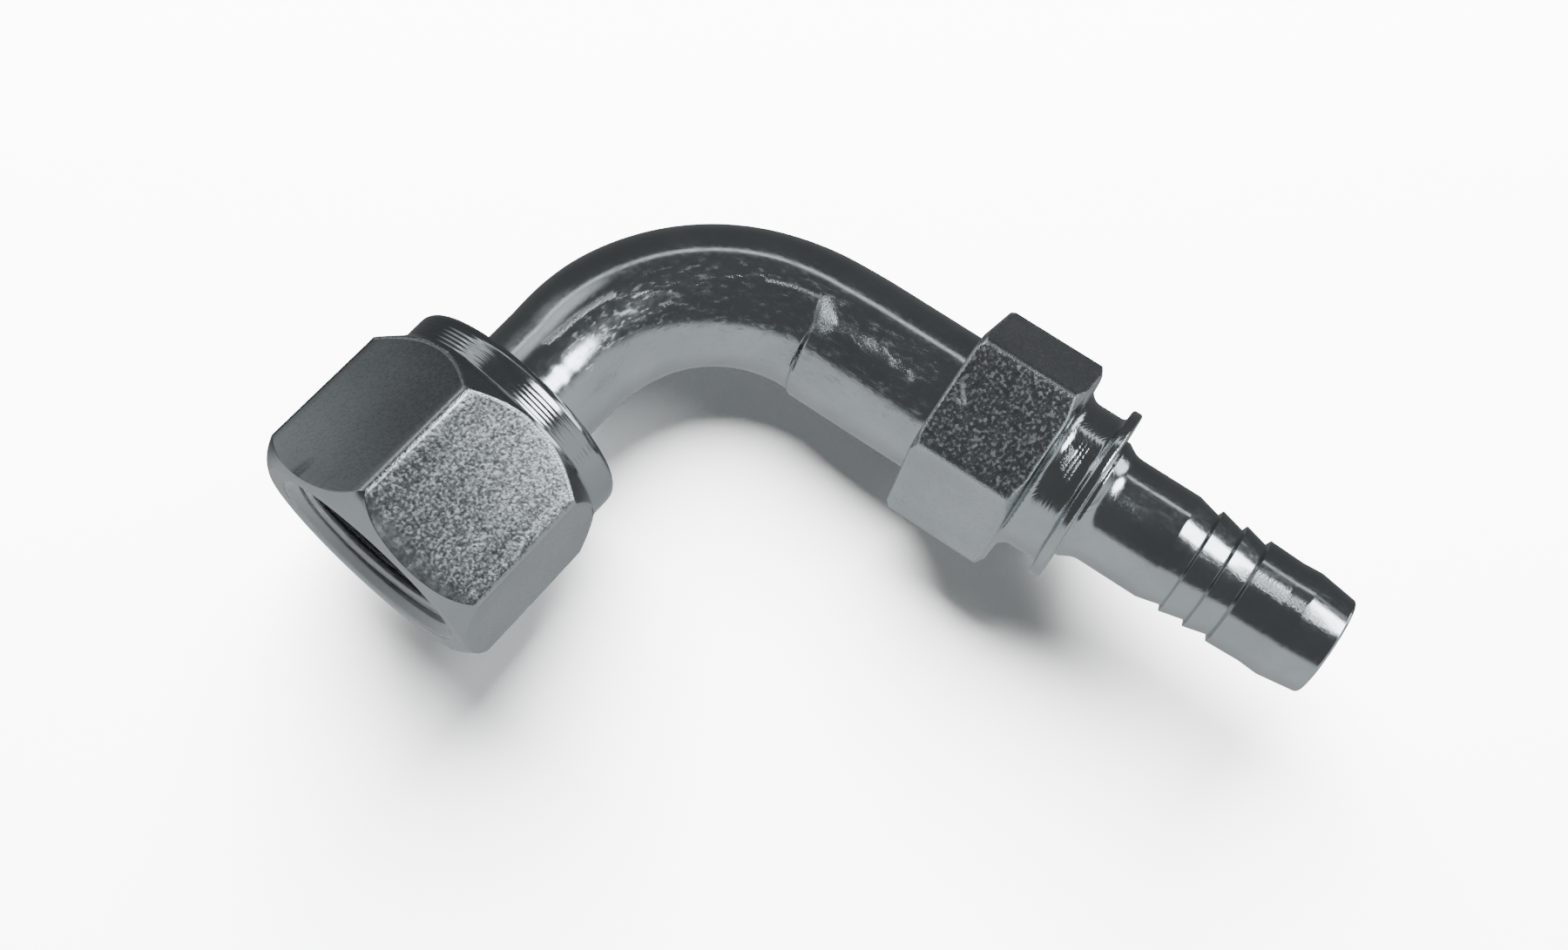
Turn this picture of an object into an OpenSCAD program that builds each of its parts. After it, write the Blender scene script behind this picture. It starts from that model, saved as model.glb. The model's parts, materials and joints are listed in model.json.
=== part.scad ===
// Swept swivel elbow, the metal end of a hydraulic hose, lying on a table.
// Two pieces: a one-piece stem turned from hexagon bar and bent, and a union nut
// rolled over the stem's shoulder, free to turn. Millimetres, +Z up. The origin is
// on the table, under the middle of the fitting.

/* [Union nut] */
// Size across the flats of the nut
nut_flats = 22; // [20:0.5:24]
// Distance of the nut's mouth from the crossing of the two axes
nut_mouth_x = 39.6; // [39:0.2:44]
// Distance of the nut's rear face from the crossing of the two axes
nut_rear_x = 21.2; // [20:0.1:22]
// Turn of the nut about its axis, as the fitting lies
nut_turn = 58.1; // [0:0.1:59.9]
// Rounding of the nut's long edges
nut_edge_r = 0.4; // [0.2:0.1:1]
// Radius of the crown turned on the mouth's end
nut_crown = 5; // [4:0.1:6]
// Radius of the turned collar behind the hexagon
collar_r = 10.75; // [10:0.05:10.95]
// Rounding of the rolled rear edge
collar_round = 0.7; // [0.3:0.1:1.5]

/* [Nut thread, G 3/8] */
// Major radius of the internal thread, where its plain wall stands
thread_r = 8.33; // [8:0.01:8.6]
// Length of the threaded wall
thread_len = 7.5; // [6:0.1:7.6]
// Depth of the countersink at the mouth
mouth_sink = 0.9; // [0.3:0.1:1.2]

/* [Bent tube] */
// Angle through which the tube is bent
bend_angle = 85; // [80:0.5:92]
// Radius of the bend at the tube's centre line
bend_r = 16; // [14:0.1:17]
// Radius of the tube through the bend
tube_r = 6.2; // [6:0.05:6.3]
// Radius of the tube where the nut turns on it
root_r = 5.95; // [5.7:0.05:6]
// Radius of the straight stretch before the wrench hexagon
thick_r = 6.52; // [6.4:0.01:6.8]
// Radius of the bore through tube and tail
bore_r = 3.6; // [3:0.1:3.8]

/* [Wrench hexagon and neck] */
// Size across the flats of the stem's hexagon
hex_flats = 17.7; // [16:0.1:19]
// Rounding of the hexagon's long edges
hex_edge_r = 1.2; // [0.3:0.1:2]
// Where the hexagon starts along the tail's axis
hex_y = 27.75; // [26:0.05:32]
// Length of the hexagon
hex_len = 9.55; // [8:0.05:12]
// Turn of the hexagon about the tail's axis
hex_turn = 42.9; // [0:0.1:59.9]
// Radius of the turned neck
neck_r = 7; // [6.9:0.05:7.4]
// Length of the neck up to the ferrule stop
neck_len = 3.75; // [3:0.05:6]

/* [Ferrule stop and hose tail] */
// Radius of the ferrule stop
stop_r = 8.15; // [7.9:0.05:9]
// Thickness of the ferrule stop
stop_len = 0.95; // [0.8:0.05:2]
// Radius of the hose tail
tail_r = 4.98; // [4.8:0.02:5.2]
// Length of the hose tail beyond the stop
tail_len = 22.7; // [22:0.1:26]
// Pitch of the three barbs
barb_pitch = 2.3; // [2:0.05:2.4]
// Radius at the foot of each barb
barb_foot_r = 4.48; // [4.3:0.02:4.6]

/* [Hidden] */
$fn = 96;
// Turns that lay the fitting on the table, and where the crossing of the axes ends up
lay_x = 10.72;
lay_y = -16.59;
lay_to = [-13.01, -26.2, 4.55];
// Running clearance of the nut on the tube
nut_clear = 0.08;
// End play between the stem's shoulder and the wall it pulls against
end_play = 0.3;
nut_hole_r = root_r + nut_clear;
// Inner face of the nut's rear wall
rear_wall = 3.2;
rear_wall_x = nut_rear_x + rear_wall;
// Relief turned behind the thread
relief_deep = 0.25;
relief_len = 4.5;
thread_x = nut_mouth_x - thread_len;
relief_r = thread_r + relief_deep;
relief_x = thread_x - relief_len;
// Centre of the crown's arc
crown_len = 4.4;
crown_x = nut_mouth_x - crown_len;
crown_r = 8.24;
// Straight part of the collar, its end under the hexagon's rear cone, and the cone's start
collar_len = 1.9;
collar_end = 2.6;
collar_flare = 0.25;
cone_start = 2.5;
cone_rise = 0.2;
// Cavity for the stem's shoulder
cavity_r = 7.75;
shoulder_r = 7.3;
shoulder_x = rear_wall_x + end_play;
shoulder_len = 2.6;
// Sealing nose: 60 degree cone, cut flat round the bore
cone_half = 30;
nose_r = 4.6;
nose_x = shoulder_x + shoulder_len + (shoulder_r - nose_r) / tan(cone_half);
// Where the bend meets each axis
tangent = bend_r * tan(bend_angle / 2);
hex_end = hex_y + hex_len;
stop_y = hex_end + neck_len;
stop_end = stop_y + stop_len;
tail_end = stop_end + tail_len;
plain_end = stop_end + 7.6;
// The straight ends lap over the ends of the bend, and are larger by a hair
lap = 0.3;
hair = 0.02;
eps = 0.01;

zinc = [0.62, 0.64, 0.66];
bright = [0.7, 0.72, 0.74];

// sets the fitting down on the table
module laid() {
    translate(lay_to) rotate([lay_x, lay_y, 0]) children();
}

// a body of revolution drawn as [radius, distance] and set along the nut's axis
module along_nut() {
    rotate([0, 90, 0]) rotate_extrude() children();
}

// the same along the tail's axis
module along_tail() {
    on_tail() rotate_extrude() children();
}

// turns what stands on +Z onto the tail's axis
module on_tail() {
    rotate([0, 0, 90 - bend_angle]) rotate([-90, 0, 0]) children();
}

// section of hexagon bar with rounded edges: three crossed bars, a circle in each corner
module hex_section(flats, edge_r) {
    side = (flats - 2 * edge_r) * tan(30);
    for (a = [0, 60, 120]) {
        rotate(a) square([side, flats], center = true);
    }
    for (a = [0:60:300]) {
        rotate(a) translate([side, 0]) circle(r = edge_r);
    }
}

// half section of the nut's hexagon: cone at the back, crown at the mouth
module nut_envelope() {
    top = crown_r + nut_crown;
    cone_x = nut_rear_x + cone_start;
    polygon([
        [0, cone_x],
        [collar_r + cone_rise, cone_x],
        [top, cone_x + (top - collar_r - cone_rise) / tan(36)],
        [top, crown_x],
        [0, crown_x],
    ]);
    intersection() {
        union() {
            square([crown_r, nut_mouth_x]);
            translate([crown_r, crown_x]) circle(r = nut_crown);
        }
        translate([0, crown_x - eps]) square([top, nut_mouth_x - crown_x + eps]);
    }
}

// half section of the rolled collar behind the hexagon
module collar_profile() {
    translate([0, nut_rear_x]) square([collar_r - collar_round, collar_round + 1]);
    translate([collar_r - collar_round, nut_rear_x + collar_round]) circle(r = collar_round);
    polygon([
        [0, nut_rear_x + collar_round],
        [collar_r, nut_rear_x + collar_round],
        [collar_r, nut_rear_x + collar_len],
        [collar_r + collar_flare, nut_rear_x + collar_end],
        [0, nut_rear_x + collar_end],
    ]);
}

// what is turned out of the nut: rear hole, shoulder cavity, relief, thread, countersink
module nut_hollow() {
    polygon([
        [0, nut_rear_x - 1],
        [nut_hole_r + 1.35, nut_rear_x - 1],
        [nut_hole_r, nut_rear_x + 0.35],
        [nut_hole_r, rear_wall_x],
        [cavity_r, rear_wall_x],
        [cavity_r, relief_x - (relief_r - cavity_r)],
        [relief_r, relief_x],
        [relief_r, thread_x - 0.3],
        [thread_r, thread_x],
        [thread_r, nut_mouth_x - mouth_sink],
        [thread_r + mouth_sink + 1, nut_mouth_x + 1],
        [0, nut_mouth_x + 1],
    ]);
}

module nut() {
    color(zinc) laid() difference() {
        union() {
            intersection() {
                rotate([nut_turn, 0, 0]) rotate([0, 90, 0])
                    linear_extrude(height = nut_mouth_x + 1) hex_section(nut_flats, nut_edge_r);
                along_nut() nut_envelope();
            }
            along_nut() collar_profile();
        }
        along_nut() nut_hollow();
    }
}

// half section of the stem's end inside the nut: shoulder and sealing cone
module nose_profile() {
    polygon([
        [0, tangent - lap],
        [tube_r + hair, tangent - lap],
        [tube_r + hair, tangent + 0.2],
        [root_r, tangent + 1.9],
        [root_r, shoulder_x],
        [shoulder_r - 0.3, shoulder_x],
        [shoulder_r, shoulder_x + 0.3],
        [shoulder_r, shoulder_x + shoulder_len],
        [nose_r, nose_x],
        [0, nose_x],
    ]);
}

// round bar bent from the nut's axis to the tail's axis
module bend(r) {
    translate([tangent, bend_r, 0]) rotate([0, 0, 270 - bend_angle])
        rotate_extrude(angle = bend_angle) translate([bend_r, 0]) circle(r = r);
}

// half section of the straight stretch, the neck and the ferrule stop
module shank_profile() {
    polygon([
        [0, tangent - lap],
        [tube_r + hair, tangent - lap],
        [tube_r + hair, tangent + 0.6],
        [thick_r, tangent + 1.6],
        [thick_r, hex_y + 1],
        [neck_r, hex_y + 1],
        [neck_r, stop_y],
        [stop_r - 0.25, stop_y],
        [stop_r - 0.25, stop_end],
        [tail_r + 0.65, stop_end],
        [tail_r + 0.65, stop_end + 0.35],
        [tail_r + 0.05, stop_end + 1.3],
        [0, stop_end + 1.3],
    ]);
    translate([stop_r - 0.25, stop_y + 0.25]) square([0.25, stop_len - 0.5]);
    for (y = [stop_y + 0.25, stop_end - 0.25]) {
        translate([stop_r - 0.25, y]) circle(r = 0.25);
    }
    // small fillet where the neck meets the stop
    difference() {
        translate([neck_r - eps, stop_y - 0.4]) square([0.4 + eps, 0.4 + eps]);
        translate([neck_r + 0.4, stop_y - 0.4]) circle(r = 0.4);
    }
}

// half section of the hose tail: plain, three barbs, land, tapered tip
module tail_profile() {
    polygon([
        [0, stop_end],
        [tail_r, stop_end],
        [tail_r, plain_end],
        [barb_foot_r, plain_end + barb_pitch * 0.87],
        [tail_r, plain_end + barb_pitch * 0.87 + 0.2],
        [barb_foot_r, plain_end + barb_pitch * 1.87],
        [tail_r, plain_end + barb_pitch * 1.87 + 0.2],
        [barb_foot_r, plain_end + barb_pitch * 2.83],
        [tail_r, plain_end + barb_pitch * 2.83 + 0.25],
        [tail_r - 0.12, plain_end + 9.9],
        [tail_r, plain_end + 11.6],
        [tail_r - 0.48, tail_end - 0.2],
        [tail_r - 0.66, tail_end],
        [0, tail_end],
    ]);
}

// hexagon of the stem: edge broken at the tube, chamfered at the neck
module wrench_hex() {
    top = hex_flats / sqrt(3) + 0.1;
    near = top - 0.7;
    far = hex_flats / 2 + 0.35;
    intersection() {
        on_tail() rotate([0, 0, -hex_turn]) translate([0, 0, hex_y])
            linear_extrude(height = hex_len) hex_section(hex_flats, hex_edge_r);
        along_tail() polygon([
            [0, hex_y],
            [near, hex_y],
            [top, hex_y + 0.7],
            [top, hex_end - (top - far) * tan(30)],
            [far, hex_end],
            [0, hex_end],
        ]);
    }
}

module stem() {
    color(bright) laid() difference() {
        union() {
            along_nut() nose_profile();
            bend(tube_r);
            along_tail() shank_profile();
            wrench_hex();
            along_tail() tail_profile();
        }
        bend(bore_r - hair);
        translate([tangent - lap, 0, 0]) rotate([0, 90, 0]) cylinder(r = bore_r, h = nose_x);
        on_tail() translate([0, 0, tangent - lap]) cylinder(r = bore_r, h = tail_end);
    }
}

stem();
nut();
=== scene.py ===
import json
from math import acos, asin, atan2, cos, degrees, exp, hypot, pi, radians, sin, sqrt, tan
import bmesh
import bpy
from mathutils import Matrix, Vector


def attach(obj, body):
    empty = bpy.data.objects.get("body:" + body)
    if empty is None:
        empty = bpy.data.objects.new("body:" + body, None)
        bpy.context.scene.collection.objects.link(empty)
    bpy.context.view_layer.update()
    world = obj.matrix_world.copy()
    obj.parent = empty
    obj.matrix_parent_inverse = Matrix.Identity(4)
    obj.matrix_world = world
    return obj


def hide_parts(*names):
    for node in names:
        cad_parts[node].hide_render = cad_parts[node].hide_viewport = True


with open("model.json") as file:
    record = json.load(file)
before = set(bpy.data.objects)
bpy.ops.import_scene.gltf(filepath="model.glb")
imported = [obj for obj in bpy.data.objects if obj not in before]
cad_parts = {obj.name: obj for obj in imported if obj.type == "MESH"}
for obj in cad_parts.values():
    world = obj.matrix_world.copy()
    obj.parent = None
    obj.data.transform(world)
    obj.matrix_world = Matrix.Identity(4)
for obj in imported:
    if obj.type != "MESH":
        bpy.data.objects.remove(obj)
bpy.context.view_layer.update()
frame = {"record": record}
print("stage: frame loaded")

mm = 0.001


# the fitting's own axes: x along the nut, y across it on the tail's side, z off the elbow's plane
def readAxes(record):
    mounts = {m["name"]: m for m in record["mounts"]}
    nutPoint, nutAxis = (Vector(mounts["nut_thread"][k]) for k in ("pos_m", "axis"))
    tailPoint, tailAxis = (Vector(mounts["hose_tail"][k]) for k in ("pos_m", "axis"))
    nutAxis.normalize()
    tailAxis.normalize()
    normal = nutAxis.cross(tailAxis).normalized()
    side = normal.cross(nutAxis)
    crossing = tailPoint + tailAxis * ((nutPoint - tailPoint).dot(side) / tailAxis.dot(side))
    place = Matrix((nutAxis, side, normal)).transposed().to_4x4()
    place.translation = crossing
    return place, pi - acos(nutAxis.dot(tailAxis))


fittingPlace, bendAngle = readAxes(frame["record"])
print("stage: axes read, the tube bends", round(degrees(bendAngle), 2), "degrees")


# one corner of a profile as an arc, with a point before and after it that keeps the flat sides flat
def roundedCorner(corners, i):
    steps, sideShare, flatFrom = 3, 0.4, 1.2
    a, r, rounding = corners[i]
    if not rounding:
        return [(a, r)]
    before, after = corners[i - 1], corners[(i + 1) % len(corners)]
    here = Vector((a, r))
    toBefore = Vector(before[:2]) - here
    toAfter = Vector(after[:2]) - here
    lengthBefore, lengthAfter = toBefore.length, toAfter.length
    toBefore.normalize()
    toAfter.normalize()
    between = acos(max(-1, min(1, toBefore.dot(toAfter))))
    reach = min(rounding / tan(between / 2), sideShare * lengthBefore, sideShare * lengthAfter)
    radius = reach * tan(between / 2)
    centre = here + (toBefore + toAfter).normalized() * (radius / sin(between / 2))
    start, end = here + toBefore * reach - centre, here + toAfter * reach - centre
    sweep = pi - between
    points = [here + toBefore * reach * flatFrom]
    for k in range(steps + 1):
        t = k / steps
        points.append(centre + (start * sin((1 - t) * sweep) + end * sin(t * sweep)) / sin(sweep))
    points.append(here + toAfter * reach * flatFrom)
    return [tuple(p) for p in points]


# distance from the axis to the side of a hexagon bar with rounded edges, by angle from a corner
def hexReach(flats, edge, angle):
    half = flats / 2
    a = abs((angle + pi / 6) % (pi / 3) - pi / 6)
    centre = (half - edge) / cos(pi / 6)
    if a < atan2(edge / 2, centre + edge * cos(pi / 6)):
        return centre * cos(a) + sqrt(edge ** 2 - (centre * sin(a)) ** 2)
    return half / cos(pi / 6 - a)


# angles once round, closer together where the hexagon's corners are
def hexAngles(flats, edge, first, cornerSteps, flatSteps):
    # the steps of a corner reach a little on to its flats
    overlap = 1.04
    centre = (flats / 2 - edge) / cos(pi / 6)
    half = atan2(edge / 2, centre + edge * cos(pi / 6)) * overlap
    angles = []
    for sector in range(6):
        base = first + sector * pi / 3
        angles += [base - half + 2 * half * k / cornerSteps for k in range(cornerSteps)]
        angles += [base + half + (pi / 3 - 2 * half) * k / flatSteps for k in range(flatSteps)]
    return angles


def ramp(value, low, high):
    t = max(0, min(1, (value - low) / (high - low)))
    return t * t * (3 - 2 * t)


# an angle in degrees from -180 to 180
def spinOf(angle):
    return (degrees(angle) + 180) % 360 - 180


# what the marks do at a point: how far they lift the surface, and how scuffed it is
# a mark is a short line in (along, angle), with its width, height and scuffing
def markAt(marks, along, radius, angle):
    lift, scuff, farOff = 0, 0, 4
    for a1, t1, a2, t2, width, height, rubbed in marks:
        if not min(a1, a2) - farOff * width < along < max(a1, a2) + farOff * width:
            continue
        p = Vector((along, radians(spinOf(angle)) * radius))
        start, end = Vector((a1, radians(t1) * radius)), Vector((a2, radians(t2) * radius))
        line = end - start
        t = max(0, min(1, (p - start).dot(line) / line.length_squared))
        near = exp(-((p - start - line * t).length / width) ** 2)
        lift += height * near
        scuff += rubbed * near
    return lift, min(1, scuff)


# closed shell swept round the x axis: profileAt(angle) gives rows of (finish, [(along, radius, rounding)])
# finish is how speckled, turned, drawn, dull and worn the steel is there
def buildShell(name, angles, profileAt, marks):
    vertices, finishes, surfaces, scuffs = [], [], [], []
    for angle in angles:
        corners, kinds = [], []
        for finish, rows in profileAt(angle):
            corners += rows
            kinds += [finish] * len(rows)
        walked, last = 0, None
        for i, finish in enumerate(kinds):
            for along, radius in roundedCorner(corners, i):
                if last:
                    walked += hypot(along - last[0], radius - last[1])
                last = along, radius
                # the inside of the piece has no marks
                lift, scuff = markAt(marks, along, radius, angle) if finish[3] < 1 else (0, 0)
                out = radius + lift
                vertices.append(Vector((along, out * cos(angle), out * sin(angle))) * mm)
                scuffs.append(min(1, scuff + finish[4]))
                finishes += finish[:4]
                surfaces += (walked, cos(angle), sin(angle))
    around = len(angles)
    count = len(vertices) // around
    faces = []
    for i in range(around):
        here, there = i * count, (i + 1) % around * count
        for k in range(count):
            after = (k + 1) % count
            faces.append((here + k, there + k, there + after, here + after))
    mesh = bpy.data.meshes.new(name)
    mesh.from_pydata(vertices, [], faces)
    mesh.attributes.new("finish", "FLOAT_COLOR", "POINT").data.foreach_set("color", finishes)
    mesh.attributes.new("surface", "FLOAT_VECTOR", "POINT").data.foreach_set("vector", surfaces)
    mesh.attributes.new("scuff", "FLOAT", "POINT").data.foreach_set("value", scuffs)
    work = bmesh.new()
    work.from_mesh(mesh)
    bmesh.ops.recalc_face_normals(work, faces=work.faces)
    for face in work.faces:
        face.smooth = True
    work.to_mesh(mesh)
    work.free()
    return mesh


def addPiece(name, mesh):
    piece = bpy.data.objects.new(name, mesh)
    bpy.context.collection.objects.link(piece)
    return piece


def nodesOf(holder):
    holder.use_nodes = True
    holder.node_tree.nodes.clear()
    return holder.node_tree


def mathNode(tree, operation, a, b=None, kind="ShaderNodeMath"):
    n = tree.nodes.new(kind)
    n.operation = operation
    for i, v in enumerate((a, b)):
        if isinstance(v, bpy.types.NodeSocket):
            tree.links.new(v, n.inputs[i])
        elif v is not None:
            n.inputs[i].default_value = v
    return n.outputs["Value" if operation == "DOT_PRODUCT" else 0]


def vectorNode(tree, operation, a, b):
    return mathNode(tree, operation, a, b, "ShaderNodeVectorMath")


def plus(tree, *values):
    total = values[0]
    for v in values[1:]:
        total = mathNode(tree, "ADD", total, v)
    return total


def smooth(tree, value, low, high, outLow=0, outHigh=1):
    n = tree.nodes.new("ShaderNodeMapRange")
    n.interpolation_type = "SMOOTHSTEP"
    tree.links.new(value, n.inputs["Value"])
    for name, v in zip(("From Min", "From Max", "To Min", "To Max"), (low, high, outLow, outHigh)):
        n.inputs[name].default_value = v
    return n.outputs["Result"]


def noise(tree, vector, detail, rough):
    n = tree.nodes.new("ShaderNodeTexNoise")
    tree.links.new(vector, n.inputs["Vector"])
    n.inputs["Scale"].default_value = 1
    n.inputs["Detail"].default_value = detail
    n.inputs["Roughness"].default_value = rough
    return n.outputs["Fac"]


# zinc plated steel, lengths in millimetres: what both bodies share, then what each has of its own
platingSettings = {
    "darkest": (0.02, 0.021, 0.022, 1), "skin": 0.5, "skinHeight": 0.0012, "skinRoughness": 0.03,
    "turningWide": 45, "grit": 0.14, "patchLong": 1.6, "patchWide": 0.5, "patchRoughness": 0.16,
    "fleckRoughness": 0.2, "dullShade": 0.55, "dullHeight": 0.02, "dullMetallic": 0.6,
    "scuffShade": 0.35, "scuffHeight": 0.06, "scuffRoughness": 0.28,
}
steelSettings = {
    "stem": {
        "colour": (0.61, 0.635, 0.65), "cloud": 5, "cloudDepth": 0.12,
        "speckle": 0.3, "speckleHeight": 0.035, "speckleDark": 0.3,
        "turning": 0.3, "turningHeight": 0.03,
        "drawnLong": 1.0, "drawnWide": 0.34, "drawnHeight": 0.006,
        "roughness": 0.13, "speckledRoughness": 0.09, "grainRoughness": 0.26, "drawnRoughness": 0.02,
        "dullRoughness": 0.3,
    },
    "nut": {
        "colour": (0.5, 0.522, 0.536), "cloud": 6, "cloudDepth": 0.12,
        "speckle": 0.27, "speckleHeight": 0.008, "speckleDark": 0.5,
        "turning": 0.3, "turningHeight": 0.025,
        "drawnLong": 18, "drawnWide": 1.6, "drawnHeight": 0.02,
        "roughness": 0.13, "speckledRoughness": 0.03, "grainRoughness": 0.06, "drawnRoughness": 0.02,
        "dullRoughness": 0.35,
    },
}


def zincSteel(name, s, meanRadius):
    material = bpy.data.materials.new(name)
    tree = nodesOf(material)
    shader = tree.nodes.new("ShaderNodeBsdfPrincipled")
    point = tree.nodes.new("ShaderNodeTexCoord").outputs["Object"]
    reads = {}
    for attribute in ("finish", "surface", "scuff"):
        n = tree.nodes.new("ShaderNodeAttribute")
        n.attribute_name = attribute
        reads[attribute] = n
    parts = tree.nodes.new("ShaderNodeSeparateColor")
    tree.links.new(reads["finish"].outputs["Color"], parts.inputs["Color"])
    speckled, turned, drawn = parts.outputs[:3]
    dull = reads["finish"].outputs["Alpha"]
    surface = reads["surface"].outputs["Vector"]

    def along(length, width):
        return vectorNode(tree, "MULTIPLY", surface, (1 / length, meanRadius / width, meanRadius / width))

    def inPoint(size):
        return vectorNode(tree, "MULTIPLY", point, (1 / (size * mm),) * 3)

    speckle = noise(tree, inPoint(s["speckle"]), 1.5, 0.55)
    turning = noise(tree, along(s["turning"], s["turningWide"]), 2, 0.55)
    # flecks along the drawn tube, only where the pattern is high
    fibre = smooth(tree, noise(tree, along(s["drawnLong"], s["drawnWide"]), 1.5, 0.5), 0.52, 0.78)
    skin = noise(tree, inPoint(s["skin"]), 3, 0.6)
    cloud = noise(tree, inPoint(s["cloud"]), 4, 0.6)
    grit = noise(tree, inPoint(s["grit"]), 2, 0.6)
    scuff = mathNode(tree, "MULTIPLY", reads["scuff"].outputs["Fac"], smooth(tree, grit, 0.35, 0.6, 0.4, 1))

    # colour: clouds in the plating, darker grains on the rolled flats, darker where dull
    grains = smooth(tree, speckle, 0.3, 0.55, 1 - s["speckleDark"], 1)
    grains = plus(tree, 1, mathNode(tree, "MULTIPLY", speckled, mathNode(tree, "SUBTRACT", grains, 1)))
    clouds = smooth(tree, cloud, 0.3, 0.7, 1 - s["cloudDepth"], 1)
    dulled = smooth(tree, dull, 0, 1, 1, s["dullShade"])
    shade = mathNode(tree, "MULTIPLY", mathNode(tree, "MULTIPLY", grains, clouds), dulled)
    # fresh metal shows where it is scuffed
    shade = plus(tree, shade, mathNode(tree, "MULTIPLY", scuff, s["scuffShade"]))
    tint = tree.nodes.new("ShaderNodeMix")
    tint.data_type = "RGBA"
    tint.inputs["A"].default_value = s["darkest"]
    tint.inputs["B"].default_value = (*s["colour"], 1)
    tree.links.new(shade, tint.inputs["Factor"])
    tree.links.new(tint.outputs["Result"], shader.inputs["Base Color"])

    # roughness: patches in the plating, on top of what each finish adds
    patch = noise(tree, along(s["patchLong"], s["patchWide"]), 3, 0.6)
    patches = plus(tree, smooth(tree, patch, 0.48, 0.75, 0, s["patchRoughness"]),
                   mathNode(tree, "MULTIPLY", fibre, s["fleckRoughness"]))
    grainy = smooth(tree, speckle, 0.5, 0.66, 0, s["grainRoughness"])
    least, most = s["roughness"] - s["skinRoughness"], s["roughness"] + s["skinRoughness"]
    rough = plus(tree, smooth(tree, skin, 0.3, 0.7, least, most),
                 mathNode(tree, "MULTIPLY", speckled, s["speckledRoughness"]),
                 mathNode(tree, "MULTIPLY", speckled, grainy),
                 mathNode(tree, "MULTIPLY", drawn, s["drawnRoughness"]),
                 mathNode(tree, "MULTIPLY", drawn, patches),
                 mathNode(tree, "MULTIPLY", dull, s["dullRoughness"]),
                 mathNode(tree, "MULTIPLY", scuff, s["scuffRoughness"]))
    tree.links.new(rough, shader.inputs["Roughness"])
    # the inside is passivated and takes in more light than it mirrors
    tree.links.new(smooth(tree, dull, 0, 1, 1, s["dullMetallic"]), shader.inputs["Metallic"])

    # relief in metres
    def relief(pattern, mask, depth):
        return mathNode(tree, "MULTIPLY", mathNode(tree, "MULTIPLY", pattern, mask), depth * mm)

    height = plus(tree, relief(speckle, speckled, s["speckleHeight"]),
                  relief(turning, turned, s["turningHeight"]), relief(fibre, drawn, s["drawnHeight"]),
                  relief(skin, dull, s["dullHeight"]), relief(grit, scuff, s["scuffHeight"]),
                  mathNode(tree, "MULTIPLY", skin, s["skinHeight"] * mm))
    bump = tree.nodes.new("ShaderNodeBump")
    bump.inputs["Strength"].default_value = 1
    bump.inputs["Distance"].default_value = 1
    tree.links.new(height, bump.inputs["Height"])
    tree.links.new(bump.outputs["Normal"], shader.inputs["Normal"])
    tree.links.new(shader.outputs[0], tree.nodes.new("ShaderNodeOutputMaterial").inputs["Surface"])
    return material


# each body has its own steel, with the mean radius that the patterns round its axis are laid on
steels = {body: zincSteel(body + "Steel", {**platingSettings, **steelSettings[body]}, meanRadius)
          for body, meanRadius in (("stem", 6), ("nut", 11))}
print("stage: steels made")

# speckled, turned, drawn, dull, worn
lathed, lathedFine, insideDull = (0, 1, 0, 0, 0), (0, 0.12, 0.3, 0, 0), (0, 0.5, 0, 1, 0)


# the six rolled flats aren't equally speckled, and their edges are worn bright
# the first number of speckles is the flat after the first corner
def rolledAt(s, first, angle, reach, wear=0):
    turned = (angle - first) % (2 * pi) / (pi / 3)
    speckle = s["speckles"][int(turned) % 6]
    offCorner = abs(turned - round(turned)) * (pi / 3) * reach
    edge = exp(-(offCorner / s["wearWidth"]) ** 2)
    return (speckle * (1 - edge), 0, 0, 0, min(1, s["edgeWear"] * edge + wear))


# quarter round from a face at foot to a cylinder of the radius given: hollow where height is above 0
def quarterRound(foot, radius, length, height, steps):
    turns = [pi / 2 * k / steps for k in range(1, steps + 1)]
    return [(foot + length * (1 - cos(t)), radius + height * (1 - sin(t)), 0) for t in turns]


# places from first up to, and without, last
def stretch(first, last, step):
    count = round((last - first) / step)
    return [first + (last - first) * k / count for k in range(count)]


# shallow rings left by the turning tool
def ringed(first, last, radius, pitch, height):
    rowsPerRing = 5
    count = round((last - first) / pitch * rowsPerRing)
    return [(first + (last - first) * k / count, radius + height * sin(2 * pi * k / rowsPerRing), 0)
            for k in range(count + 1)]


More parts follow.
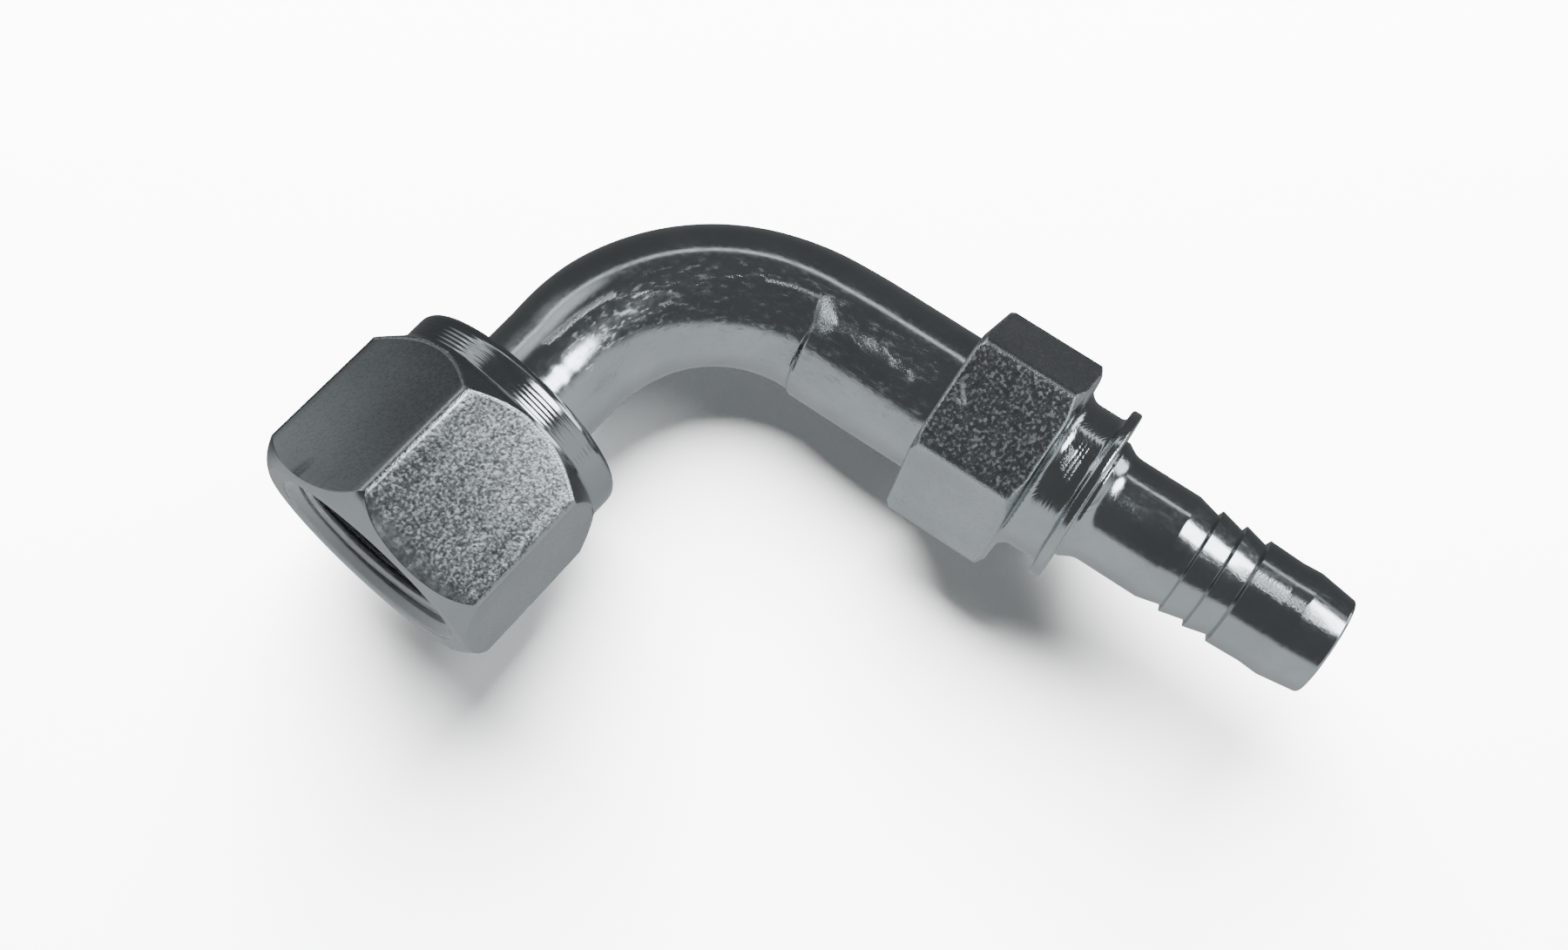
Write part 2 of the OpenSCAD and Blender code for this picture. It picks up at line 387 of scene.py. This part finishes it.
# the stem: lengths in millimetres, and places along each arm from the crossing of the axes
# along, as in the marks and the fold, is measured on the centre line from the nut's end of the bend
stemSettings = {
    "bendRadius": 16, "tube": 6.2, "root": 5.95, "thick": 6.5, "bore": 3.6,
    "noseEnd": 31.98, "nose": 4.6, "shoulderStart": 24.7, "shoulderEnd": 27.3, "shoulder": 7.3,
    "hexStart": 27.75, "hexEnd": 37.3, "hexFlats": 17.7, "hexEdge": 1.2, "hexTurn": 42.9,
    "neck": 7, "stopStart": 41.05, "stopEnd": 42, "stop": 8.15,
    "tail": 4.98, "plainEnd": 49.6, "barbPitch": 2.3, "barbFoot": 4.48, "tipEnd": 64.7,
    # each barb: where its foot is, in pitches, and how long its step is
    "barbs": [(0.87, 0.2), (1.87, 0.2), (2.83, 0.25)],
    # the rubbed land: how far beyond the plain stretch, and how low; the tip: how far back, low and lowest
    "land": [(9.9, 0.12), (11.6, 0)], "tipEdge": (0.2, 0.48, 0.66),
    # the foot of the stop: its length and height, and where its slope ends
    "stopFoot": (0.35, 0.65, 1.45),
    # how much the hexagon's corners are cut at the bend, and how far its flats reach past the cut at the neck
    "nearCut": 0.6, "farReach": 0.35,
    "neckFillet": 1.25, "neckRings": (1.7, 2.7),
    # the swelling behind the nut, the thickening round the bend's end, and the step on its inner side
    "swell": (-2.2, 5), "thickens": (-5, 4), "dieStep": (0.35, 0.75), "insideFrom": (104, 124),
    # the bending die rubbed the inner side from this angle on; the rest is smoother
    "rubbedFrom": (84, 92), "unrubbed": 0.25,
    "cornerSteps": 8, "flatSteps": 31,
    # speckling of the flats, from the one between -43 and 17 degrees on
    "speckles": [0.6, 0.45, 1, 0.25, 0.6, 0.6],
    "edgeWear": 0.35, "wearWidth": 0.3, "rimWear": 0.8, "rings": (0.34, 0.011),
    "fold": {
        "start": 23.5, "slant": 0.05, "angles": (94, 108, 117), "blend": (4, 2), "width": 2, "least": 0.05,
        "rise": 0.35, "lip": 0.3, "drop": 0.12, "settled": 1.7,
    },
    # tool and handling marks: along, angle, along, angle, width, height, scuffing
    "marks": [
        # ridge left by the bending die, ending in a bright wedge, and another by the nut
        (18.4, 100.7, 23.4, 97.2, 0.16, 0.03, 0.9), (24, 96, 24.3, 101, 0.3, 0, 1),
        (24.5, 102, 24.8, 108, 0.7, 0, 1), (24.9, 109, 25.1, 114, 0.8, 0, 1),
        (-2.7, 89.8, 4.3, 95.6, 0.2, 0.03, 0.8),
        # fine lines across the tube
        (-3.6, 92, -3.5, 142, 0.09, -0.03, 0), (24.15, 120, 24.2, 175, 0.14, -0.004, 0),
        # scratches before the wrench hexagon
        (26.4, 106, 29.5, 107, 0.5, 0.004, 0.4), (29, 108, 33.5, 111, 0.6, 0.004, 0.35),
        (33.2, 108, 33.7, 112.5, 0.14, -0.05, 1), (30.2, 104, 31.6, 108, 0.1, -0.02, 0.8),
        (31.6, 111, 32.2, 105, 0.09, -0.02, 0.7), (27.6, 110, 29.1, 113, 0.09, -0.02, 0.6),
        # nicks in the hexagon, then on the bend
        (37.75, 101.5, 38.8, 109.5, 0.13, -0.09, 1), (37.9, 108, 38.4, 110.5, 0.1, -0.05, 1),
        (8.1, 121, 9.0, 118, 0.12, -0.02, 0.4), (14.2, 104, 16.1, 101, 0.1, 0.012, 0.5),
        (16.8, 99, 18.1, 97.5, 0.1, 0.012, 0.5), (5.5, 104, 7.2, 105, 0.1, 0.01, 0.4),
        # a hose was pushed over the tail
        (65.3, 96, 70.6, 96.5, 0.55, 0, 0.8), (53.2, 104, 56, 105, 0.9, 0, 0.26),
        (60.5, 106, 64, 108, 0.5, 0, 0.15),
        # turning marks on the neck
        (47.7, 92, 47.7, 106, 0.1, 0.008, 0.6), (48.1, 94, 48.1, 110, 0.1, 0.008, 0.8),
        (48.5, 97, 48.5, 113, 0.1, 0.008, 0.8), (48.9, 99, 48.9, 115, 0.1, 0.008, 0.7),
    ],
}


# the tube swells a little behind the nut, and gets thicker round the end of the bend: gradually on the
# outside, and in one step on the inside, where the die ended
def tubeRadius(s, along, angle):
    bendEnd = s["bendRadius"] * bendAngle
    base = s["root"] + (s["tube"] - s["root"]) * ramp(along, *s["swell"])
    inside = ramp(abs(spinOf(angle)), *s["insideFrom"])
    slow = ramp(along - bendEnd, *s["thickens"])
    step = ramp(along - bendEnd, *s["dieStep"])
    thicker = (s["thick"] - s["tube"]) * (slow * (1 - inside) + step * inside)
    return base + thicker + dieFold(s["fold"], along, angle)


# the fold where the bending die's edge ended: a lip that falls off in a short three-cornered facet
def dieFold(s, along, angle):
    first, middle, last = s["angles"]
    before, after = s["blend"]
    spin = spinOf(angle)
    share = min(ramp(spin, first - before, middle), 1 - ramp(spin, middle, last + after))
    width = s["width"] * share
    if width < s["least"]:
        return 0
    t = (along - s["start"] - s["slant"] * (spin - first)) / width
    lip, drop = s["lip"] * share, s["drop"] * share
    if t < 0:
        return lip * ramp(t * width, -s["rise"], 0)
    return lip - (lip + drop) * t if t < 1 else -drop * (1 - ramp(t, 1, s["settled"]))


def stemProfile(s, angle):
    tangent = s["bendRadius"] * tan(bendAngle / 2)
    bendEnd = s["bendRadius"] * bendAngle
    reach = hexReach(s["hexFlats"], s["hexEdge"], pi - angle - radians(s["hexTurn"]))
    leastCut, rimRow = 0.12, 0.22
    nearCut = max(leastCut, reach - (s["hexFlats"] / sqrt(3) - s["nearCut"]))
    farCut = max(leastCut, reach - (s["hexFlats"] / 2 + s["farReach"]))
    rolled = rolledAt(s, -radians(s["hexTurn"]), angle, reach)
    rim = rolledAt(s, -radians(s["hexTurn"]), angle, reach, s["rimWear"])
    rubbed = s["unrubbed"] + (1 - s["unrubbed"]) * ramp(abs(spinOf(angle)), *s["rubbedFrom"])
    drawnTube = (0, 0, rubbed, 0, 0)
    start, end = s["hexStart"], s["hexEnd"]
    tail, foot, plain, tip = s["tail"], s["barbFoot"], s["plainEnd"], s["tipEnd"]
    fillet, (ringsFrom, ringsTo) = s["neckFillet"], s["neckRings"]
    footLength, footHeight, footEnd = s["stopFoot"]
    tipBack, tipLow, tipLowest = s["tipEdge"]

    def nutSide(x):
        return tangent - x

    def tailSide(y):
        return bendEnd + y - tangent

    # rows lie closest where the fold is
    tubeRows = stretch(-1.9, 0.3, 0.3) + stretch(0.3, bendEnd - 6, 0.36)
    tubeRows += stretch(bendEnd - 6, bendEnd + 3.5, 0.13) + stretch(bendEnd + 3.5, tailSide(start) - 0.4, 0.4)
    barbs = [(tailSide(plain), tail, 0.5)]
    for turns, rise in s["barbs"]:
        barbs.append((tailSide(plain + s["barbPitch"] * turns), foot, 0.06))
        barbs.append((tailSide(plain + s["barbPitch"] * turns + rise), tail, 0.06))
    return [
        (lathed, [
            (nutSide(s["noseEnd"]), s["bore"] + 0.15, 0),
            (nutSide(s["noseEnd"]), s["nose"], 0.15),
            (nutSide(s["shoulderEnd"]), s["shoulder"], 0.2),
            (nutSide(s["shoulderStart"] + 0.3), s["shoulder"], 0.1),
            (nutSide(s["shoulderStart"]), s["shoulder"] - 0.3, 0.1),
            (nutSide(s["shoulderStart"]), s["root"], 0.2)]),
        (lathedFine, [(a, s["root"], 0) for a in stretch(-6, -1.9, 0.4)]),
        (drawnTube, [(a, tubeRadius(s, a, angle), 0) for a in tubeRows]),
        (lathed, [
            (tailSide(start), s["thick"], 0.25),
            (tailSide(start), reach - nearCut - 0.1, 0)]),
        (rim, [
            (tailSide(start), reach - nearCut, 0.1),
            (tailSide(start + nearCut), reach, 0.1)]),
        (rolled, [(tailSide(start + nearCut + rimRow), reach, 0)]),
        (rolled, [(tailSide(a), reach, 0) for a in stretch(start + 0.9, end - 1.3, 0.4)]),
        (rolled, [(tailSide(end - farCut * tan(pi / 6) - rimRow), reach, 0)]),
        (rim, [(tailSide(end - farCut * tan(pi / 6)), reach, 0.12)]),
        (lathed, [
            (tailSide(end), reach - farCut, 0.12),
            (tailSide(end), s["neck"] + fillet, 0)]),
        (lathed, quarterRound(tailSide(end), s["neck"], fillet, fillet, 9)),
        (lathed, ringed(tailSide(end + ringsFrom), tailSide(end + ringsTo), s["neck"], *s["rings"])),
        (lathed, [
            (tailSide(s["stopStart"]), s["neck"], 0.4),
            (tailSide(s["stopStart"]), s["stop"], 0.25),
            (tailSide(s["stopEnd"]), s["stop"], 0.25),
            (tailSide(s["stopEnd"]), tail + footHeight, 0.12),
            (tailSide(s["stopEnd"] + footLength), tail + footHeight, 0.2)]),
        (lathedFine, [
            (tailSide(s["stopEnd"] + footEnd), tail, 3),
            (tailSide((s["stopEnd"] + plain) / 2), tail, 0)]),
        (lathedFine, barbs),
        (lathedFine, [(tailSide(plain + beyond), tail - low, 0.8) for beyond, low in s["land"]]),
        (lathedFine, [
            (tailSide(tip - tipBack), tail - tipLow, 0.25),
            (tailSide(tip), tail - tipLowest, 0.2)]),
        (insideDull, [
            (tailSide(tip), s["bore"] + 0.25, 0.08),
            (tailSide(tip - 0.25), s["bore"], 0.08),
            (tailSide(tangent + 0.5), s["bore"], 0)]),
        (insideDull, [(bendEnd * (1 - k / 24), s["bore"], 0) for k in range(25)]),
        (insideDull, [(nutSide(s["noseEnd"] - 0.2), s["bore"], 0)]),
    ]


def groupWith(name, inputs):
    group = bpy.data.node_groups.new(name, "GeometryNodeTree")
    group.interface.new_socket("Geometry", in_out="INPUT", socket_type="NodeSocketGeometry")
    group.interface.new_socket("Geometry", in_out="OUTPUT", socket_type="NodeSocketGeometry")
    for socketName in inputs:
        group.interface.new_socket(socketName, in_out="INPUT", socket_type="NodeSocketFloat")
    return group, group.nodes.new("NodeGroupInput").outputs


# last nodes of every tree: real geometry with its steel
def endWith(group, geometry, material):
    realize = group.nodes.new("GeometryNodeRealizeInstances")
    setMaterial = group.nodes.new("GeometryNodeSetMaterial")
    setMaterial.inputs["Material"].default_value = material
    group.links.new(geometry, realize.inputs[0])
    group.links.new(realize.outputs[0], setMaterial.inputs[0])
    group.links.new(setMaterial.outputs[0], group.nodes.new("NodeGroupOutput").inputs[0])


# runs a tree on a mesh and gives back the plain mesh, set in place on the fitting's axes
def grown(name, mesh, group, values):
    holder = addPiece(name + "Holder", mesh)
    modifier = holder.modifiers.new("nodes", "NODES")
    modifier.node_group = group
    for item in group.interface.items_tree:
        if item.in_out == "INPUT" and item.name in values:
            modifier[item.identifier] = float(values[item.name])
    depsgraph = bpy.context.evaluated_depsgraph_get()
    result = bpy.data.meshes.new_from_object(
        holder.evaluated_get(depsgraph), preserve_all_data_layers=True, depsgraph=depsgraph)
    result.name = name
    holder.modifiers.remove(modifier)
    bpy.data.objects.remove(holder)
    result.transform(fittingPlace)
    return result


# bends a straight turned bar: x is along the bar, y out of the bend, z off its plane
def bendTree(material):
    group, given = groupWith("bendAlongArc", ("Bend radius", "Bend angle"))
    radius, angle = given["Bend radius"], given["Bend angle"]

    def m(operation, a, b=None):
        return mathNode(group, operation, a, b)

    split = group.nodes.new("ShaderNodeSeparateXYZ")
    group.links.new(group.nodes.new("GeometryNodeInputPosition").outputs[0], split.inputs[0])
    x, out, off = split.outputs
    turned = m("MINIMUM", m("MAXIMUM", m("DIVIDE", x, radius), 0.0), angle)
    beyond = m("SUBTRACT", x, m("MULTIPLY", turned, radius))
    s, c = m("SINE", turned), m("COSINE", turned)
    reach = m("ADD", radius, out)
    tangent = m("MULTIPLY", radius, m("TANGENT", m("MULTIPLY", angle, 0.5)))
    newX = m("SUBTRACT", m("SUBTRACT", tangent, m("MULTIPLY", s, reach)), m("MULTIPLY", c, beyond))
    newY = m("ADD", m("SUBTRACT", radius, m("MULTIPLY", c, reach)), m("MULTIPLY", s, beyond))
    joined = group.nodes.new("ShaderNodeCombineXYZ")
    for socket, value in zip(joined.inputs, (newX, newY, off)):
        group.links.new(value, socket)
    setPosition = group.nodes.new("GeometryNodeSetPosition")
    group.links.new(given["Geometry"], setPosition.inputs["Geometry"])
    group.links.new(joined.outputs[0], setPosition.inputs["Position"])
    endWith(group, setPosition.outputs[0], material)
    return group


def buildStem(s):
    first = pi - radians(s["hexTurn"])
    angles = hexAngles(s["hexFlats"], s["hexEdge"], first, s["cornerSteps"], s["flatSteps"])
    straight = buildShell("stemStraight", angles, lambda angle: stemProfile(s, angle), s["marks"])
    bent = grown("stemBody", straight, bendTree(steels["stem"]),
                 {"Bend radius": s["bendRadius"] * mm, "Bend angle": bendAngle})
    piece = addPiece("stemBody", bent)
    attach(piece, "stem")
    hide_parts("stem")
    print("stage: stem built,", len(bent.polygons), "faces")


buildStem(stemSettings)

# the union nut: along is the distance from the crossing of the axes, lengths in millimetres
nutSettings = {
    "rear": 21.2, "mouth": 39.6, "flats": 22, "edge": 0.8, "turn": 58.1,
    "hole": 6.03, "collar": 10.75, "coneStart": 24.4, "coneAngle": 40, "hollow": 0.12,
    "crownCentre": (35.2, 8.24), "crown": 5, "sink": 0.9, "rearRound": 0.9, "coneFoot": 0.2,
    "thread": 8.33, "threadStart": 32.1, "relief": 8.58, "reliefStart": 27.6,
    "cavity": 7.75, "wall": 24.4,
    "cornerSteps": 8, "flatSteps": 24,
    # speckling of the flats, from the one between -32 and 28 degrees on
    "speckles": [0.25, 1, 0.25, 0.6, 0.6, 0.6],
    "edgeWear": 0.45, "wearWidth": 0.18, "rimWear": 0.45, "rimWide": 0.3,
    # rings on the collar: pitch and height, and where they are from the rear on
    "rings": (0.36, 0.009), "ringed": (1.1, 2.8),
    "marks": [
        # nicks, the first one at the mouth
        (38.9, 120.5, 39.3, 122.5, 0.11, -0.06, 0.5), (29, 60, 29.5, 58.5, 0.08, -0.03, 0.1),
        (33.5, 44, 34, 46, 0.09, -0.03, 0.1),
        # long shallow hollows left by the rolling of the bar
        (26, 77.5, 38, 77.5, 0.5, -0.014, 0), (25, 34, 38, 34, 0.5, -0.02, 0),
    ],
}


def nutProfile(s, angle):
    reach = hexReach(s["flats"], s["edge"], angle - radians(s["turn"] - 90))
    # the flats are a little hollow
    offMiddle = (angle - radians(s["turn"] - 60)) % (pi / 3)
    offMiddle = tan(min(offMiddle, pi / 3 - offMiddle)) * sqrt(3)
    reach -= s["hollow"] * max(0, 1 - offMiddle ** 2)
    centre, out = s["crownCentre"]
    rise = s["collar"] + s["coneFoot"]
    rear, collar, slope = s["rear"], s["collar"], tan(radians(s["coneAngle"]))
    ringsFrom, ringsTo = s["ringed"]
    first = asin((reach - out) / s["crown"])
    last = acos((s["mouth"] - centre) / s["crown"])
    arc = stretch(first, last, (last - first) / 9)
    rolled = rolledAt(s, radians(s["turn"] - 90), angle, reach)
    rim = (0, 0, 0, 0, s["rimWear"])
    coneEnd = s["coneStart"] + (reach - rise) / slope
    onCone = min(0.2, 0.5 * (coneEnd - s["coneStart"]))
    return [
        (lathed, [
            (rear, s["hole"] + 0.35, 0.1),
            (rear, collar - s["rearRound"], 0)]),
        (lathed, quarterRound(rear, collar, s["rearRound"], -s["rearRound"], 6)),
        (lathed, ringed(rear + ringsFrom, rear + ringsTo, collar, *s["rings"])),
        (lathed, [
            (s["coneStart"], rise, 0.4),
            (coneEnd - onCone, reach - onCone * slope, 0)]),
        (rim, [(coneEnd, reach, 0.25)]),
        (rim, [(coneEnd + s["rimWide"], reach, 0)]),
        (rolled, [(coneEnd + s["rimWide"] + 0.04, reach, 0)]),
        (rolled, [(a, reach, 0) for a in stretch(28, 38, 0.5)]),
        (lathedFine, [(centre + s["crown"] * cos(arc[0]), reach, 0.12)]),
        (lathedFine, [(centre + s["crown"] * cos(t), out + s["crown"] * sin(t), 0) for t in arc[1:]]),
        (lathedFine, [
            (s["mouth"], out + s["crown"] * sin(last), 0.15),
            (s["mouth"], s["thread"] + s["sink"], 0.12)]),
        (insideDull, [
            (s["mouth"] - 0.25, s["thread"] + s["sink"] - 0.25, 0),
            (s["mouth"] - s["sink"], s["thread"], 0.1),
            (s["threadStart"], s["thread"], 0.1),
            (s["threadStart"] - 0.3, s["relief"], 0.1),
            (s["reliefStart"], s["relief"], 0.2),
            (s["reliefStart"] - s["relief"] + s["cavity"], s["cavity"], 0.2),
            (s["wall"], s["cavity"], 0.2),
            (s["wall"], s["hole"], 0.1),
            (rear + 0.35, s["hole"], 0.1)]),
    ]


# ridge of the internal pipe thread, G 3/8, 19 turns to the inch
threadSettings = {
    "pitch": 1.337, "crest": 7.475, "wall": 8.33, "start": 32.5, "length": 5.9, "crestWidth": 0.35,
    # how far the ridge's foot is sunk into the wall, and how much narrower than the pitch it is
    "sunk": 0.06, "footGap": 0.15,
    "steps": 96, "softened": 0.1,
    # the ridge starts at this share of its size, and grows this many times as fast as it runs on
    "startShare": 0.12, "growth": 12.0,
}


def threadTree(t, material):
    names = ("Turns", "Middle radius", "Length", "Ridge height", "Foot width", "Crest width")
    group, given = groupWith("threadRidge", names)
    spiral = group.nodes.new("GeometryNodeCurveSpiral")
    spiral.inputs["Resolution"].default_value = t["steps"]
    for socket, name in (("Rotations", "Turns"), ("Start Radius", "Middle radius"),
                         ("End Radius", "Middle radius"), ("Height", "Length")):
        group.links.new(given[name], spiral.inputs[socket])
    upright = group.nodes.new("GeometryNodeSetCurveNormal")
    upright.mode = "Z_UP"
    profile = group.nodes.new("GeometryNodeCurvePrimitiveQuadrilateral")
    profile.mode = "TRAPEZOID"
    profile.inputs["Offset"].default_value = 0
    for socket, name in (("Height", "Ridge height"), ("Bottom Width", "Foot width"),
                         ("Top Width", "Crest width")):
        group.links.new(given[name], profile.inputs[socket])
    # the profile's top points to the axis
    inward = group.nodes.new("GeometryNodeTransform")
    inward.inputs["Rotation"].default_value = (0, 0, -pi / 2)
    softer = group.nodes.new("GeometryNodeFilletCurve")
    softer.mode = "POLY"
    softer.inputs["Count"].default_value = 2
    softer.inputs["Radius"].default_value = t["softened"] * mm
    swept = group.nodes.new("GeometryNodeCurveToMesh")
    swept.inputs["Fill Caps"].default_value = True
    # the ridge runs out at both ends
    span = group.nodes.new("GeometryNodeSplineParameter").outputs["Factor"]
    ends = mathNode(group, "MINIMUM", span, mathNode(group, "SUBTRACT", 1, span))
    growing = mathNode(group, "ADD", mathNode(group, "MULTIPLY", ends, t["growth"]), t["startShare"])
    growing = mathNode(group, "MINIMUM", growing, 1.0)
    links = group.links
    links.new(spiral.outputs[0], upright.inputs["Curve"])
    links.new(profile.outputs[0], inward.inputs[0])
    links.new(inward.outputs[0], softer.inputs[0])
    links.new(upright.outputs[0], swept.inputs["Curve"])
    links.new(softer.outputs[0], swept.inputs["Profile Curve"])
    links.new(growing, swept.inputs["Scale"])
    shade = group.nodes.new("GeometryNodeSetShadeSmooth")
    links.new(swept.outputs[0], shade.inputs[0])
    # the spiral climbs along z; the nut's axis is x
    lie = group.nodes.new("GeometryNodeTransform")
    lie.inputs["Rotation"].default_value = (0, pi / 2, 0)
    lie.inputs["Translation"].default_value = (t["start"] * mm, 0, 0)
    links.new(shade.outputs[0], lie.inputs[0])
    endWith(group, lie.outputs[0], material)
    return group


def buildNut(s, t):
    start = radians(s["turn"] - 90)
    angles = hexAngles(s["flats"], s["edge"], start, s["cornerSteps"], s["flatSteps"])
    mesh = buildShell("nutBody", angles, lambda angle: nutProfile(s, angle), s["marks"])
    mesh.materials.append(steels["nut"])
    mesh.transform(fittingPlace)
    piece = addPiece("nutBody", mesh)
    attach(piece, "nut")
    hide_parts("nut")
    print("stage: nut built,", len(mesh.polygons), "faces")

    ridge = grown("nutThread", bpy.data.meshes.new("threadSeed"), threadTree(t, steels["nut"]), {
        "Turns": t["length"] / t["pitch"], "Length": t["length"] * mm,
        "Middle radius": (t["crest"] + t["wall"] + t["sunk"]) / 2 * mm,
        "Ridge height": (t["wall"] + t["sunk"] - t["crest"]) * mm,
        "Foot width": (t["pitch"] - t["footGap"]) * mm, "Crest width": t["crestWidth"] * mm})
    piece = addPiece("nutThread", ridge)
    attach(piece, "nut")
    print("stage: thread built,", len(ridge.polygons), "faces")


buildNut(nutSettings, threadSettings)

# camera: where the photograph was taken from, nearly straight above the table
cameraSettings = {
    "place": Vector((3.3114, -3.1048, 158.9676)) * mm,
    "right": Vector((-0.663345, 0.748161, 0.01512)),
    "up": Vector((-0.747109, -0.663288, 0.043336)),
    "back": Vector((0.042451, 0.017451, 0.998946)),
    "lens": 40.383, "sensor": 36,
}


def addCamera(c):
    data = bpy.data.cameras.new("camera")
    data.lens = c["lens"]
    data.sensor_width = c["sensor"]
    data.clip_start = 0.005
    camera = bpy.data.objects.new("camera", data)
    turn = Matrix((c["right"], c["up"], c["back"])).transposed()
    camera.matrix_world = Matrix.Translation(c["place"]) @ turn.to_4x4()
    bpy.context.collection.objects.link(camera)
    bpy.context.scene.camera = camera


addCamera(cameraSettings)

# the studio as the steel sees it, by angle from straight above and by turn from the picture's right
studioSettings = {
    "dark": 0.095,
    "colour": (0.93, 0.98, 1, 1),
    # soft boxes: angle, turn, outer and inner edge, light
    "boxes": [
        (50, 25.5, 16.5, 13.5, 10), (88, 17, 16, 10, 2.8), (60, 112, 15, 5, 0.8), (76, 140, 27, 12, 0.5),
    ],
    # a narrow strip on the far side, and a broad panel on the near side that fades downwards
    "strip": {"angle": 73, "half": 1.1, "soft": 3, "upward": (0.5, 0.8), "light": 1.15},
    "panel": {"from": 46, "to": 56, "upward": (0.1, -0.15), "fades": (165, 100, 0.55, 1), "light": 0.55},
    # faint light from below
    "low": (115, 170, 0, 0.05),
    "backdrop": 4,
    # lamp that throws the shadow: angle, turn, distance, size, power
    "lamps": [("floorLamp", 56, 90, 0.6, 0.6, 88)],
    "floor": 0.85, "floorSize": 1.2,
}


def direction(angle, turn):
    c = cameraSettings
    a, t = radians(angle), radians(turn)
    return (c["right"] * cos(t) + c["up"] * sin(t)) * sin(a) + c["back"] * cos(a)


def angleTo(tree, vector, v):
    between = mathNode(tree, "ARCCOSINE", vectorNode(tree, "DOT_PRODUCT", vector, v))
    return mathNode(tree, "MULTIPLY", between, 180 / pi)


def addStudio(s):
    world = bpy.data.worlds.new("studio")
    bpy.context.scene.world = world
    tree = nodesOf(world)
    toward = tree.nodes.new("ShaderNodeTexCoord").outputs["Generated"]
    toward = vectorNode(tree, "NORMALIZE", toward, None)

    def times(a, b):
        return mathNode(tree, "MULTIPLY", a, b)

    away = angleTo(tree, toward, cameraSettings["back"])
    upward = vectorNode(tree, "DOT_PRODUCT", toward, cameraSettings["up"])
    boxes = [times(smooth(tree, angleTo(tree, toward, direction(angle, turn)), outer, inner), light)
             for angle, turn, outer, inner, light in s["boxes"]]
    offStrip = mathNode(tree, "ABSOLUTE", mathNode(tree, "SUBTRACT", away, s["strip"]["angle"]))
    strip = smooth(tree, offStrip, s["strip"]["half"] + s["strip"]["soft"], s["strip"]["half"])
    strip = times(strip, smooth(tree, upward, *s["strip"]["upward"]))
    panel = smooth(tree, away, s["panel"]["from"], s["panel"]["to"])
    panel = times(panel, smooth(tree, upward, *s["panel"]["upward"]))
    panel = times(panel, smooth(tree, away, *s["panel"]["fades"]))
    low = smooth(tree, away, *s["low"])
    total = plus(tree, *boxes, times(strip, s["strip"]["light"]), times(panel, s["panel"]["light"]),
                 low, s["dark"])
    seen = tree.nodes.new("ShaderNodeLightPath").outputs["Is Camera Ray"]
    lights, backdrop = (tree.nodes.new("ShaderNodeBackground") for _ in range(2))
    lights.inputs["Color"].default_value = s["colour"]
    tree.links.new(total, lights.inputs["Strength"])
    backdrop.inputs["Color"].default_value = (1, 1, 1, 1)
    backdrop.inputs["Strength"].default_value = s["backdrop"]
    mix = tree.nodes.new("ShaderNodeMixShader")
    for value, socket in zip((seen, lights.outputs[0], backdrop.outputs[0]), mix.inputs):
        tree.links.new(value, socket)
    tree.links.new(mix.outputs[0], tree.nodes.new("ShaderNodeOutputWorld").inputs["Surface"])

    for name, angle, turn, distance, size, power in s["lamps"]:
        data = bpy.data.lights.new(name, "AREA")
        data.shape = "DISK"
        data.size = size
        data.energy = power
        lamp = bpy.data.objects.new(name, data)
        back = direction(angle, turn)
        lamp.location = back * distance
        lamp.rotation_euler = back.to_track_quat("Z", "Y").to_euler()
        lamp.visible_glossy = False
        bpy.context.collection.objects.link(lamp)


def addFloor(s):
    bpy.ops.mesh.primitive_plane_add(size=s["floorSize"], location=(0, 0, 0))
    piece = bpy.context.object
    piece.name = "floor"
    material = bpy.data.materials.new("floorPaper")
    tree = nodesOf(material)
    shader = tree.nodes.new("ShaderNodeBsdfDiffuse")
    shader.inputs["Color"].default_value = (s["floor"],) * 3 + (1,)
    tree.links.new(shader.outputs[0], tree.nodes.new("ShaderNodeOutputMaterial").inputs["Surface"])
    piece.data.materials.append(material)
    # the photograph's table doesn't show in the steel
    piece.visible_glossy = False


addStudio(studioSettings)
addFloor(studioSettings)
print("stage: studio set")
